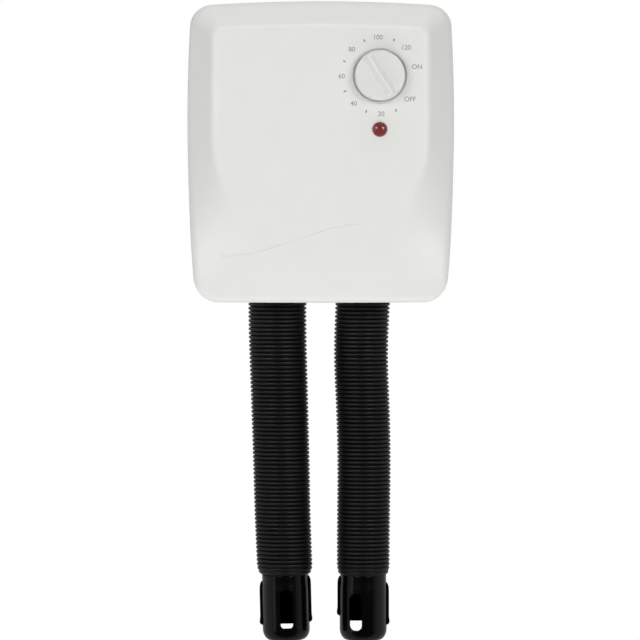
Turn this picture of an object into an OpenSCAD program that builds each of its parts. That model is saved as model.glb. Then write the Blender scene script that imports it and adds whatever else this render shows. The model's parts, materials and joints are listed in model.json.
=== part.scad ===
// Wall-mounted boot dryer: a blower and heater in a moulded housing, a run-down timer
// with its knob and lamp on the front, and two pleated hoses that end in slotted nozzles.
// Frame: +X right, +Y into the wall, +Z up. The origin is on the wall face, at mid width
// and mid height of the housing, so the front looks along -Y. "Depth" is the distance in
// front of the wall, which is -Y.

/* [Housing] */
// Width of the housing at its widest
housing_w = 185.6; // [180:0.2:192]
// Height of the housing along its centre line
housing_h = 209.6; // [208:0.2:212]
// Depth from the wall to the front panel
housing_d = 104; // [103:0.5:108]
// Depth of the back shell, where the two shells meet and the hoses hang
shell_d = 50; // [49:0.5:51]
// Wall thickness of both shells
wall = 2.4; // [2:0.1:2.8]
// Corner radius at the top
corner_top = 14; // [10:0.5:16]
// Corner radius at the bottom
corner_bottom = 16; // [12:0.5:18]

/* [Front panel] */
// Half width of the raised panel
panel_half_w = 74.2; // [72:0.2:76]
// Height of the raised panel's top edge above mid height
panel_top = 82.6; // [81:0.2:84]
// Height of the raised panel's bottom edge, below mid height
panel_bottom = -75.8; // [-80:0.2:-70]
// Depth of the rim behind the bands at the top
rim_top_d = 75; // [70:1:80]
// Depth of the rim at the bottom
rim_bottom_d = 100; // [97:0.5:101]

/* [Timer and knob] */
// Knob axis, right of centre
knob_x = 40.5; // [40:0.1:42]
// Knob axis, above mid height
knob_z = 51.2; // [50:0.1:54]
// Diameter of the knob at the panel
knob_base_dia = 37.8; // [36:0.2:39]
// Diameter of the knob's face
knob_dia = 34.6; // [30:0.2:35]
// Height of the knob's face above its base
knob_h = 9; // [8:0.5:10]
// Width of the grip bar across the knob
grip_w = 6.3; // [5:0.1:8]
// Angle of the grip bar's pointer end, clockwise from the top as seen from the front
pointer_angle = 327.4; // [0:0.1:360]
// Diameter of the timer case
timer_dia = 44; // [40:0.5:46]
// Diameter of the timer shaft
timer_shaft_dia = 6; // [5:0.5:6]

/* [Lamp] */
// Lamp axis, above mid height (it is below the knob)
lamp_z = 14.5; // [13:0.1:16]
// Diameter of the lens
lens_dia = 10.2; // [10:0.1:11]

/* [Blower and motor] */
// Blower axis, right of centre
blower_x = -36; // [-36.5:0.5:-35.5]
// Blower axis, above mid height
blower_z = 36; // [35.5:0.5:36.5]
// Impeller radius
impeller_r = 34; // [32:0.5:34]
// Number of impeller blades
blades = 28; // [20:1:32]
// Motor shaft diameter
motor_shaft_dia = 4; // [3:0.5:4]

/* [Hoses] */
// Distance from the centre line to each hose
hose_x = 30; // [29.7:0.1:30.3]
// Outer diameter at the housing
hose_dia = 40; // [38:0.1:40.5]
// Outer diameter at the nozzle
hose_end_dia = 38; // [37:0.1:38.5]
// Lean of the left hose to the right, in degrees
left_lean = 1.36; // [0:0.02:1.6]
// How far round the left nozzle its front window sits, in degrees
left_window = 6.5; // [0:0.5:10]
// How far round the right nozzle its front window sits, in degrees
right_window = -17.5; // [-20:0.5:0]

/* [Hidden] */

$fn = 48;
eps = 0.5;          // how far a cutter runs past a face
touch_gap = 0.05;   // gap round a part that is pressed or pushed on

// ---- outlines of the housing ----
half_w = housing_w / 2;
arc_steps = 6;      // facets in each corner
edge_steps = 6;     // facets along the top and the bottom
side_steps = 12;    // facets along each side
waist_z = 20;       // height where the housing is widest
side_bulge = 0.00043;
crown_top = 3.7;    // how far the top edge rises in the middle
crown_bottom = 0.4; // how far the bottom edge drops in the middle
flat_top = housing_h / 2 - crown_top;
flat_bottom = -housing_h / 2 + crown_bottom;
edge_round = 7;     // length of the rounding where the side meets the band
crease_round = 4;   // length of the rounding where the band meets the panel
panel_corner = 6;
panel_waist_z = 7;  // below this height the panel narrows
panel_pinch = 0.52;
panel_pinch_power = 1.7;
panel_bow = 0.007;  // share of its half width that the sides lose at the top
panel_crown = 2.4;  // how far its top and bottom edges bow
back_chamfer = 3.5;

function arc(cx, cz, r, from) =
    [for (k = [0:arc_steps]) let (a = from + 90 * k / arc_steps) [cx + r * cos(a), cz + r * sin(a)]];
function between(p, q, n) = [for (k = [1:n - 1]) p + (q - p) * k / n];
function last(list) = list[len(list) - 1];

// A rounded rectangle as points, anticlockwise from the right side's top
function rounded(half, top, bottom, r_top, r_bottom) =
    let (
        tr = arc(half - r_top, top - r_top, r_top, 0),
        tl = arc(r_top - half, top - r_top, r_top, 90),
        bl = arc(r_bottom - half, bottom + r_bottom, r_bottom, 180),
        br = arc(half - r_bottom, bottom + r_bottom, r_bottom, 270)
    )
    concat(tr, between(last(tr), tl[0], edge_steps), tl, between(last(tl), bl[0], side_steps),
           bl, between(last(bl), br[0], edge_steps), br, between(last(br), tr[0], side_steps));

// The sides bow outwards and the top and bottom edges are crowned
function bowed(p) =
    let (
        x = p[0] * (1 - side_bulge * pow(p[1] - waist_z, 2) / half_w),
        crown = p[1] > 0 ? crown_top : -crown_bottom,
        lift = crown * pow(abs(p[1]) / (housing_h / 2), 6) * max(0, 1 - pow(p[0] / 85, 2))
    )
    [x, p[1] + lift];
function housing_outline(inset) =
    [for (p = rounded(half_w - inset, flat_top - inset, flat_bottom + inset,
                      corner_top - inset, corner_bottom - inset)) bowed(p)];

// The raised panel is a shield with slightly bowed edges that narrows towards the bottom
function pinched(p) =
    let (
        span = panel_waist_z - panel_bottom,
        below = max(0, panel_waist_z - p[1]) / span,
        bow = panel_bow * pow((p[1] - panel_waist_z) / (panel_top - panel_waist_z), 2),
        crown = sign(p[1]) * panel_crown * (1 - pow(p[0] / panel_half_w, 2))
    )
    [p[0] * (1 - bow - panel_pinch * pow(below, panel_pinch_power)),
     p[1] + crown * pow(abs(p[1]) / panel_top, 6)];
function panel_outline() =
    [for (p = rounded(panel_half_w, panel_top, panel_bottom, panel_corner, panel_corner)) pinched(p)];

function smooth(t) = let (c = min(1, max(0, t))) c * c * (3 - 2 * c);
rim_fall_from = -5;  // height where the rim starts to come forward
rim_fall_over = 88;  // height over which it does
function rim_depth(z) =
    rim_top_d + (rim_bottom_d - rim_top_d) * smooth((rim_fall_from - z) / rim_fall_over);

function at_depth(outline, d) = [for (p = outline) [p[0], -d, p[1]]];
function bezier(a, b, c, t) = a * pow(1 - t, 2) + b * 2 * t * (1 - t) + c * t * t;
function towards(a, b, distance) = a + (b - a) * distance / norm(b - a);

// Rings of the front from the panel back to the rim: inset is 0 outside and the wall inside
function front_rings(inset, steps) =
    let (
        rim = housing_outline(inset),
        panel = panel_outline() * (1 - inset * 0.006),
        front = housing_d - inset,
        corner = [for (p = rim) [p[0], -(rim_depth(p[1]) - inset / 2), p[1]]],
        crease = at_depth(panel, front),
        flat = [for (p = crease) [p[0] * 0.95, p[1], p[2] * 0.95]]
    )
    concat(
        [for (s = [0:steps]) [for (i = [0:len(rim) - 1])
            bezier(flat[i], crease[i], towards(crease[i], corner[i], crease_round), s / steps)]],
        [for (s = [0:steps]) [for (i = [0:len(rim) - 1])
            bezier(towards(corner[i], crease[i], edge_round), corner[i],
                   corner[i] + [0, edge_round, 0], s / steps)]]
    );
function reversed(list) = [for (i = [len(list) - 1:-1:0]) list[i]];

// One closed solid from rings with equal counts of points, with flat first and last rings
module ring_solid(rings) {
    n = len(rings[0]);
    ends = len(rings) - 1;
    sides = [for (j = [0:ends - 1], i = [0:n - 1])
        let (a = j * n + i, b = j * n + (i + 1) % n) each [[a, b + n, b], [a, a + n, b + n]]];
    polyhedron(
        points = [for (ring = rings) each ring],
        faces = concat([[for (i = [0:n - 1]) i]], sides, [[for (i = [n - 1:-1:0]) ends * n + i]]),
        convexity = 6
    );
}

// ---- helpers that work in depth in front of the wall ----
module rod(r, from, to) translate([0, -from, 0]) rotate([90, 0, 0]) cylinder(r = r, h = to - from);
module plate(from, to) translate([0, -from, 0]) rotate([90, 0, 0]) linear_extrude(to - from) children();
module box(x0, x1, d0, d1, z0, z1) translate([x0, -d1, z0]) cube([x1 - x0, d1 - d0, z1 - z0]);
module at(x, z) translate([x, 0, z]) children();
module ring(r_out, r_in, from, to) difference() {
    rod(r_out, from, to);
    rod(r_in, from - eps, to + eps);
}

// ---- positions shared by several parts ----
// Corner screws hold the cover to the shell
corner_posts = [[69, 78.5], [-69, 78.5], [66, -84], [-66, -84]];
post_r = 5;
boss_r = 4.5;
high_boss_d = housing_d - 2; // depth where the upper bosses end, inside the cover's wall
low_boss_d = 100.2;  // and the lower ones
screw_r = 1.5;      // core of every self-tapping screw's hole
screw_gap = 0.05;   // a shank is this much thinner than its hole
cover_screw_head_r = 3.4;
cover_screw_head_d = 36; // depth of the seat of the head, inside the post
keyhole_x = 55;
keyhole_z = 60;
keyhole_r = 5;
keyhole_slot_r = 2.5;
keyhole_rise = 9;
grommet_at = [68, -67];
grommet_r = 5.5;
cord_hole_r = 3.5;
vent_count = 12;
vent_pitch = 7;
vent_h = 3;
vent_d = [10, 40];
vent_low_z = -60;

hose_exit_r = 21.4;
exit_z = -housing_h / 2; // lowest point of the housing, where the hoses come out
hose_exits = [-hose_x, hose_x];

// ---- housing ----
module back_shell() color("whitesmoke") difference() {
    union() {
        ring_solid(concat(
            [at_depth(housing_outline(back_chamfer), 0)],
            [at_depth(housing_outline(1), 1)],
            [at_depth(housing_outline(0), back_chamfer)],
            [at_depth(housing_outline(0), shell_d)],
            [at_depth(housing_outline(wall), shell_d)],
            [at_depth(housing_outline(wall), wall + 1.5)],
            [at_depth(housing_outline(wall + 1.5), wall)]
        ));
        for (p = corner_posts) at(p[0], p[1]) rod(post_r, 1, shell_d);
        for (a = blower_lugs) at_blower(a, lug_reach) rod(4, 1, scroll_d0);
    }
    for (p = corner_posts) at(p[0], p[1]) {
        rod(cover_screw_head_r + 0.4, -eps, cover_screw_head_d);
        rod(screw_r + 0.3, 0, shell_d + eps);
    }
    for (a = blower_lugs) at_blower(a, lug_reach) rod(screw_r, 6, scroll_d0 + eps);
    for (side = [-1, 1]) at(side * keyhole_x, keyhole_z) {
        rod(keyhole_r, -eps, wall + eps);
        rod_slot(keyhole_slot_r, keyhole_rise, -eps, wall + eps);
    }
    at(grommet_at[0], grommet_at[1]) rod(grommet_r, -eps, wall + eps);
    vents();
    hose_holes();
}

// A round-ended slot that rises from the axis
module rod_slot(r, rise, from, to) {
    at(0, rise) rod(r, from, to);
    box(-r, r, from, to, 0, rise);
}

module vents()
    for (side = [-1, 1], k = [0:vent_count - 1])
        translate([side * half_w, 0, vent_low_z + k * vent_pitch])
            box(-12, 12, vent_d[0], vent_d[1], 0, vent_h);

module hose_holes()
    for (x = hose_exits)
        translate([x, -shell_d, exit_z - 5]) cylinder(r = hose_exit_r, h = 12, $fn = 64);

module front_cover() color("whitesmoke") difference() {
    union() {
        ring_solid(concat(
            front_rings(wall, 2),
            [at_depth(housing_outline(wall), shell_d)],
            [at_depth(housing_outline(0), shell_d)],
            reversed(front_rings(0, 4))
        ));
        for (p = corner_posts) at(p[0], p[1]) rod(boss_r, shell_d, p[1] > 0 ? high_boss_d : low_boss_d);
    }
    for (p = corner_posts) at(p[0], p[1]) rod(screw_r, shell_d - eps, 64);
    at(knob_x, knob_z) rod(knob_hole_r, housing_d - 10, housing_d + eps);
    for (a = timer_screw_angles) at_knob(a, timer_screw_reach) {
        rod(screw_r + 0.2, housing_d - 10, housing_d + eps);
        rod(3.1, housing_d - 1.2, housing_d + eps);
    }
    at(knob_x, lamp_z) rod(lamp_hole_r, housing_d - 10, housing_d + eps);
    hose_holes();
}

module cover_screws() color("silver")
    for (p = corner_posts) at(p[0], p[1]) {
        rod(cover_screw_head_r, cover_screw_head_d - 2.2, cover_screw_head_d);
        rod(screw_r - screw_gap, cover_screw_head_d - 0.1, 62);
    }

module cord_grommet() color("dimgray") at(grommet_at[0], grommet_at[1]) difference() {
    union() {
        rod(grommet_r, 0, wall);
        rod(grommet_r + 2.5, wall, wall + 2);
        rod(grommet_r - 0.5, wall, 10);
    }
    rod(cord_hole_r, -eps, 10 + eps);
}

// ---- timer, knob and lamp ----
knob_hole_r = 5;
panel_inside = housing_d - wall;
timer_len = 27;
timer_back = panel_inside - timer_len;
timer_skin = 1.2;
timer_plate = 2;
timer_bush_r = 4.6;
timer_screw_angles = [-45, 135];
timer_screw_reach = 14;
shaft_r = timer_shaft_dia / 2;
running_gap = 0.05;
pivot_r = 1.5;

module at_knob(angle, reach) at(knob_x + reach * cos(angle), knob_z + reach * sin(angle)) children();

module timer_case() color("gainsboro") at(knob_x, knob_z) difference() {
    union() {
        rod(timer_dia / 2, timer_back, panel_inside);
        rod(timer_bush_r, panel_inside, panel_inside + 2);
    }
    rod(timer_dia / 2 - timer_skin, timer_back + timer_plate, panel_inside - timer_plate);
    rod(shaft_r + running_gap, panel_inside - 5, housing_d + eps);
    rod(pivot_r + running_gap, timer_back - eps, timer_back + 3);
    for (a = timer_screw_angles) translate([timer_screw_reach * cos(a), 0, timer_screw_reach * sin(a)])
        rod(screw_r, panel_inside - 3, panel_inside + eps);
    for (x = terminal_x)
        box(x - 2.6, x + 2.6, timer_back - eps, timer_back + 3, terminal_dz - 0.6, terminal_dz + 0.6);
}

module timer_screws() color("silver")
    for (a = timer_screw_angles) at_knob(a, timer_screw_reach) {
        rod(2.8, housing_d - 1.2, housing_d - 0.2);
        rod(screw_r - screw_gap, panel_inside - 3.5, housing_d - 1.1);
    }

// Mainspring: a flat ribbon wound between the case and the shaft
spring_turns = 4;
spring_r0 = 5;
spring_r1 = 12;
spring_t = 0.6;
spring_steps = 16;
function spiral(grow) = [for (k = [0:spring_turns * spring_steps])
    let (a = 360 * k / spring_steps, r = spring_r0 + (spring_r1 - spring_r0) * k / (spring_turns * spring_steps) + grow)
    [r * cos(a), r * sin(a)]];
module timer_mainspring() color("slategray") at(knob_x, knob_z)
    plate(timer_back + 4, timer_back + 9) polygon(concat(spiral(0), reversed(spiral(spring_t))));

terminal_x = [-9, 9];
terminal_dz = -12;
module timer_contacts() color("gold") at(knob_x, knob_z)
    for (x = terminal_x) {
        box(x - 2.4, x + 2.4, timer_back - 8, timer_back + 13, terminal_dz - 0.4, terminal_dz + 0.4);
        box(x - 2.4, x + 2.4, timer_back + 12.2, timer_back + 13, terminal_dz - 3.5, terminal_dz);
    }

module timer_shaft() color("silver") at(knob_x, knob_z) {
    rod(pivot_r, timer_back, timer_back + 2.6);
    rod(shaft_r, timer_back + 2.5, knob_back);
    flatted(shaft_r, knob_back - 0.1, knob_front - 4);
}

// Round bar with the flat that turns the knob
module flatted(r, from, to) difference() {
    rod(r, from, to);
    rotate([0, pointer_angle, 0]) box(r - 0.9, r + 1, from - eps, to + eps, -r - 1, r + 1);
}

cam_r = 8.5;
module timer_cam() color("ivory") at(knob_x, knob_z) difference() {
    union() {
        rod(cam_r, timer_back + 15, timer_back + 19);
        rod(shaft_r + 2, timer_back + 14, timer_back + 20);
    }
    rod(shaft_r + touch_gap, 0, housing_d);
    // notch that lets the contacts open at the end of the run
    rotate([0, 45, 0]) box(cam_r - 1.8, cam_r + 1, timer_back + 10, timer_back + 25, -2.5, 2.5);
}

knob_gap = 0.6;      // between the knob and the panel
knob_skin = 2;
grip_rise = 4.5;     // height of the grip bar above the knob's face
knob_back = housing_d + knob_gap;
knob_face = knob_back + knob_h;
knob_front = knob_face + grip_rise;
module timer_knob() color("whitesmoke") at(knob_x, knob_z) difference() {
    union() {
        translate([0, -knob_back, 0]) rotate([90, 0, 0])
            cylinder(r1 = knob_base_dia / 2, r2 = knob_dia / 2, h = knob_h);
        rotate([0, pointer_angle, 0]) intersection() {
            box(-grip_w / 2, grip_w / 2, knob_face - 1, knob_front, -knob_dia / 2, knob_dia / 2);
            rod(knob_dia / 2 - 0.3, knob_face - 2, knob_front + 1);
        }
    }
    difference() {
        rod(knob_dia / 2 - knob_skin, knob_back - eps, knob_face - knob_skin);
        rod(shaft_r + 2.5, knob_back - 1, knob_face);
    }
    flatted(shaft_r + touch_gap, knob_back - eps, knob_front - 3);
}

lamp_hole_r = 4.6;
lens_stem_r = 4.4;
lamp_len = 16;
module lamp_lens() color("firebrick") at(knob_x, lamp_z) difference() {
    union() {
        rod(lens_dia / 2, housing_d, housing_d + 1);
        translate([0, -housing_d - 1, 0]) rotate([90, 0, 0])
            cylinder(r1 = lens_dia / 2, r2 = lens_dia / 2 - 1.6, h = 1.8);
        rod(lens_stem_r, housing_d - 11, housing_d + 0.5);
    }
    rod(lens_stem_r - 1, housing_d - 12, housing_d + 1);
}
module lamp_holder() color("dimgray") at(knob_x, lamp_z) difference() {
    rod(5.6, panel_inside - lamp_len, panel_inside);
    rod(lens_stem_r + 0.1, panel_inside - lamp_len + 2, panel_inside + eps);
    for (x = [-1.6, 1.6]) at(x, 0) rod(0.6, panel_inside - lamp_len - eps, panel_inside);
}
module lamp_clip() color("silver") at(knob_x, lamp_z) ring(8.5, 5.65, panel_inside - 1.2, panel_inside);
module neon_bulb() color("orange") at(knob_x, lamp_z) {
    rod(2.6, housing_d - 10, housing_d - 0.5);
    for (x = [-1.6, 1.6]) at(x, 0) rod(0.5, panel_inside - lamp_len - 3, housing_d - 9.5);
}

// ---- blower ----
scroll_d0 = 16;
scroll_d1 = 52;
scroll_t = 2.4;     // rear plate and cover
scroll_wall = 2;
scroll_r = 51;      // radius of the spiral where it meets the outlet
scroll_loss = 12.5; // how much smaller it is three quarters of a turn earlier
tongue_angle = 290; // where the spiral ends, beside the outlet
inlet_r = 24;
outlet_x = [-20, 15];
outlet_z = -4;
blower_lugs = [215, 100, 40];
scroll_ears = [70, 150, 255];
lug_reach = 6;
ear_reach = 5;
function spiral_r(a) = scroll_r - scroll_loss * a / 270;

module at_blower(angle, reach)
    at(blower_x + (spiral_r(angle) + reach) * cos(angle), blower_z + (spiral_r(angle) + reach) * sin(angle))
        children();

module scroll_2d(grow) {
    translate([blower_x, blower_z]) {
        polygon(concat([[0, 0]], [for (a = [0:10:tongue_angle]) (spiral_r(a) + grow) * [cos(a), sin(a)]]));
        circle(r = spiral_r(tongue_angle) + grow);
    }
    translate([outlet_x[0] - grow, outlet_z - (grow > 0 ? 0 : 1)])
        square([outlet_x[1] - outlet_x[0] + 2 * grow, blower_z - outlet_z + 0.1]);
}

module scroll_body() color("dimgray") difference() {
    union() {
        plate(scroll_d0, scroll_d1) scroll_2d(scroll_wall);
        for (a = blower_lugs) at_blower(a, lug_reach) rod(5, scroll_d0, scroll_d0 + scroll_t);
        for (a = scroll_ears) at_blower(a, ear_reach) rod(4, scroll_d1 - 14, scroll_d1);
    }
    plate(scroll_d0 + scroll_t, scroll_d1 + eps) scroll_2d(0);
    at(blower_x, blower_z) rod(inlet_r, scroll_d0 - eps, scroll_d0 + 5);
    for (a = blower_lugs) at_blower(a, lug_reach) rod(screw_r + 0.2, scroll_d0 - eps, scroll_d0 + 5);
    for (a = scroll_ears) at_blower(a, ear_reach) rod(screw_r, scroll_d1 - 12, scroll_d1 + eps);
}
module blower_screws() color("silver")
    for (a = blower_lugs) at_blower(a, lug_reach) {
        rod(2.8, scroll_d0 + scroll_t, scroll_d0 + scroll_t + 2);
        rod(screw_r - screw_gap, 7, scroll_d0 + scroll_t + 0.1);
    }

cover_d = scroll_d1 + scroll_t;
motor_screw_x = [-20, 20];
standoff = 4;
motor_d = cover_d + standoff;   // where the rear bracket starts
module scroll_cover() color("gray") difference() {
    union() {
        plate(scroll_d1, cover_d) scroll_2d(scroll_wall);
        for (a = scroll_ears) at_blower(a, ear_reach) rod(4, scroll_d1, cover_d);
        for (x = motor_screw_x) at(blower_x + x, blower_z) rod(boss_r, cover_d - 1, motor_d);
    }
    at(blower_x, blower_z) rod(8, scroll_d1 - eps, cover_d + eps);
    for (a = scroll_ears) at_blower(a, ear_reach) rod(screw_r + 0.2, scroll_d1 - eps, cover_d + eps);
    for (x = motor_screw_x) at(blower_x + x, blower_z) rod(screw_r, cover_d - 1.5, motor_d + eps);
}
module scroll_screws() color("silver")
    for (a = scroll_ears) at_blower(a, ear_reach) {
        rod(2.8, cover_d, cover_d + 2);
        rod(screw_r - screw_gap, scroll_d1 - 11, cover_d + 0.1);
    }

// ---- motor ----
bracket_t = 2;
leg_d = 5.6;        // depth of the bracket's legs
stator_d0 = motor_d + bracket_t + leg_d;
stator_t = 18;
stator_d1 = stator_d0 + stator_t;
bracket_d1 = stator_d1 + leg_d + bracket_t;
stator_half = 24;
bore_half = 16;
leg_in = 13;
yoke_z = [34, 44];
rotor_r = 12;
air_gap = 0.6;
motor_r = motor_shaft_dia / 2;
bush_r = 5;
bush_len = 6;

module motor_stator() color("slategray") at(blower_x, blower_z) difference() {
    union() {
        box(-stator_half, stator_half, stator_d0, stator_d1, -bore_half, bore_half);
        for (side = [-1, 1])
            box(min(side * leg_in, side * stator_half), max(side * leg_in, side * stator_half),
                stator_d0, stator_d1, bore_half - 1, yoke_z[1]);
        box(-stator_half, stator_half, stator_d0, stator_d1, yoke_z[0], yoke_z[1]);
    }
    rod(rotor_r + air_gap, 0, housing_d);
    for (x = motor_screw_x) at(x, 0) rod(screw_r + 0.3, 0, housing_d);
}

bobbin_half = 12.8;
flange_t = 1.2;
module bobbin_block(half, z_out, d_out)
    box(-half, half, stator_d0 - d_out, stator_d1 + d_out, yoke_z[0] - z_out, yoke_z[1] + z_out);
module motor_bobbin() color("ivory") at(blower_x, blower_z) difference() {
    bobbin_block(bobbin_half, 7, 7);
    difference() {
        bobbin_block(bobbin_half - flange_t, 8, 8);
        bobbin_block(bobbin_half, 1.2, 1.2);
    }
    bobbin_block(bobbin_half + 1, 0.2, 0.2);
}
module motor_winding() color("peru") at(blower_x, blower_z) difference() {
    bobbin_block(bobbin_half - flange_t, 5.5, 5.5);
    bobbin_block(bobbin_half, 1.2, 1.2);
}
module motor_brackets() color("silver") at(blower_x, blower_z)
    for (ends = [[motor_d, motor_d + bracket_t, stator_d0], [bracket_d1 - bracket_t, bracket_d1, stator_d1]])
        difference() {
            union() {
                box(-stator_half, stator_half, ends[0], ends[1], -7, 7);
                for (x = motor_screw_x) at(x, 0)
                    rod(3.8, min(ends[0], ends[2]), max(ends[1], ends[2]));
            }
            rod(bush_r + 0.02, ends[0] - eps, ends[1] + eps);
            for (x = motor_screw_x) at(x, 0) rod(screw_r + 0.3, 0, housing_d);
        }
module motor_bearings() color("goldenrod") at(blower_x, blower_z)
    for (middle = [motor_d + bracket_t / 2, bracket_d1 - bracket_t / 2])
        ring(bush_r, motor_r + 0.03, middle - bush_len / 2, middle + bush_len / 2);
module motor_screws() color("silver") at(blower_x, blower_z)
    for (x = motor_screw_x) at(x, 0) {
        rod(3, bracket_d1, bracket_d1 + 2);
        rod(screw_r - screw_gap, cover_d - 0.5, bracket_d1 + 0.1);
    }
module motor_shaft() color("silver") at(blower_x, blower_z) rod(motor_r, impeller_hub_d, bracket_d1 + 3);
module motor_rotor() color("silver") at(blower_x, blower_z) difference() {
    union() {
        rod(rotor_r, stator_d0, stator_d1);
        rod(rotor_r - 0.6, stator_d0 - 1.6, stator_d1 + 1.6);
    }
    rod(motor_r + touch_gap / 2, 0, housing_d);
}

impeller_d0 = 20;
impeller_d1 = 48;
impeller_hub_d = 36;
blade_t = 1.2;
blade_len = 7;
blade_lean = 35;
module impeller() color("dimgray") at(blower_x, blower_z) difference() {
    union() {
        ring(impeller_r, impeller_r - 5, impeller_d0, impeller_d0 + 2);
        rod(impeller_r, impeller_d1 - 2, impeller_d1);
        rod(7, impeller_hub_d, impeller_d1);
        for (k = [0:blades - 1]) rotate([0, k * 360 / blades, 0])
            translate([impeller_r - blade_len / 2 - 0.6, 0, 0]) rotate([0, blade_lean, 0])
                box(-blade_len / 2, blade_len / 2, impeller_d0 + 1, impeller_d1 - 1, -blade_t / 2, blade_t / 2);
    }
    rod(motor_r + touch_gap / 2, 0, impeller_d1 + eps);
}

// ---- heater ----
duct_wall = 2;
duct_d = [scroll_d0 + scroll_t, scroll_d1];
heater_z = [-34, -4];
fin_z = [-28, -12];
fin_t = 0.5;
fin_count = 11;
element_t = 3;
element_d = [27.4, 40];
pack_d = [[19.4, 27.4], [30.4, 40], [43, 51]];

module heater_frame() color("ivory") difference() {
    box(outlet_x[0] - duct_wall, outlet_x[1] + duct_wall, scroll_d0, cover_d, heater_z[0], heater_z[1]);
    difference() {
        box(outlet_x[0], outlet_x[1], duct_d[0], duct_d[1], heater_z[0] - 1, heater_z[1] + 1);
        for (d = [23, 35, 46]) box(outlet_x[0], outlet_x[1], d, d + 1.6, fin_z[0] - 3, fin_z[0]);
    }
}
module heater_elements() color("darkgray")
    for (d = element_d) box(outlet_x[0] + 0.5, outlet_x[1] - 0.5, d, d + element_t, fin_z[0], fin_z[1]);
module heater_fins() color("lightgray")
    for (pack = pack_d) {
        for (d = [pack[0], pack[1] - fin_t])
            box(outlet_x[0] + 0.5, outlet_x[1] - 0.5, d, d + fin_t, fin_z[0], fin_z[1]);
        for (k = [0:fin_count - 1])
            let (x = outlet_x[0] + 0.5 + k * (outlet_x[1] - outlet_x[0] - 1 - fin_t) / (fin_count - 1))
                box(x, x + fin_t, pack[0], pack[1], fin_z[0], fin_z[1]);
    }
cutout_r = 8;
module thermal_cutout() color("silver") translate([(outlet_x[0] + outlet_x[1]) / 2, 0, -20]) {
    rod(cutout_r + 1, cover_d, cover_d + 1);
    rod(cutout_r, cover_d + 0.5, cover_d + 7);
    for (x = [-4, 4]) box(x - 1.5, x + 1.5, cover_d + 6.5, cover_d + 14, -0.4, 0.4);
}

// ---- air manifold ----
manifold_half = 52;
manifold_d = [14, 72];
manifold_z = [-66, -34];
shoulder_z = -50;
spigot_r = 15.4;
spigot_end = -92;
module manifold_2d(inset) polygon([
    [outlet_x[0] - duct_wall + inset, manifold_z[1] - inset],
    [outlet_x[1] + duct_wall - inset, manifold_z[1] - inset],
    [manifold_half - inset, shoulder_z - inset * 0.6],
    [manifold_half - inset, manifold_z[0] + inset],
    [inset - manifold_half, manifold_z[0] + inset],
    [inset - manifold_half, shoulder_z - inset * 0.6]
]);
module air_manifold() color("dimgray") difference() {
    union() {
        plate(manifold_d[0], manifold_d[1]) manifold_2d(0);
        for (x = hose_exits) translate([x, -shell_d, spigot_end])
            cylinder(r = spigot_r, h = manifold_z[0] - spigot_end + 1);
    }
    plate(manifold_d[0] + duct_wall, manifold_d[1] - duct_wall) manifold_2d(duct_wall);
    box(outlet_x[0], outlet_x[1], duct_d[0], duct_d[1], manifold_z[1] - 4, manifold_z[1] + 1);
    for (x = hose_exits) translate([x, -shell_d, spigot_end - 1])
        cylinder(r = spigot_r - duct_wall, h = manifold_z[0] - spigot_end + 4);
}

// ---- hoses ----
// Each hose is one pleated tube, cut where its bodies bend and slide on each other
hose_skin = 2.8;     // depth of the pleats and the film together
cuff_r = 17.6;
cuff_gap = 0.1;
cuff_top = -68;
end_cuff = 10;
pleat_top = -97;
hose_end_z = -297.7;
bend_z = -128;       // fore and aft pivot
sway_z = -170;       // sideways pivot
stretch_z = -242;    // middle of the stretch that pulls out
lean_pivot_z = pleat_top;

function hose_r(z) = hose_dia / 2 + (hose_end_dia - hose_dia) / 2 * (pleat_top - z) / (pleat_top - hose_end_z);

// Puts a piece that is drawn on the hose's own centre line into place
module on_hose(side) {
    lean = side < 0 ? left_lean : 0;
    translate([side * hose_x, -shell_d, lean_pivot_z]) rotate([0, -lean, 0])
        translate([0, 0, -lean_pivot_z]) children();
}
module hose_piece(side, top, bottom) color("dimgray") on_hose(side) difference() {
    translate([0, 0, bottom]) cylinder(r1 = hose_r(bottom), r2 = hose_r(top), h = top - bottom);
    translate([0, 0, bottom - 1]) cylinder(r1 = hose_r(bottom) - hose_skin, r2 = hose_r(top) - hose_skin,
                                           h = top - bottom + 2);
}
module hose_top(side) {
    color("dimgray") translate([side * hose_x, -shell_d, 0]) difference() {
        translate([0, 0, pleat_top]) cylinder(r = cuff_r, h = cuff_top - pleat_top);
        translate([0, 0, pleat_top - 1]) cylinder(r = spigot_r + cuff_gap, h = cuff_top - pleat_top + 2);
    }
    hose_piece(side, pleat_top, bend_z);
}
// The last piece narrows inside to a cuff that grips the nozzle's plug
module hose_end(side) {
    hose_piece(side, stretch_z, hose_end_z);
    color("dimgray") on_hose(side) difference() {
        translate([0, 0, hose_end_z]) cylinder(r = hose_end_dia / 2 - 1, h = end_cuff);
        translate([0, 0, hose_end_z - 1]) cylinder(r = plug_r + cuff_gap, h = end_cuff + 2);
    }
}
module hose_clamps() color("silver")
    for (x = hose_exits) translate([x, -shell_d, -82]) {
        difference() {
            union() {
                cylinder(r = cuff_r + 1.1, h = 8);
                translate([-4, -cuff_r - 7, -0.5]) cube([8, 7, 9]);
            }
            translate([0, 0, -1]) cylinder(r = cuff_r + 0.1, h = 10);
        }
    }

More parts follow.
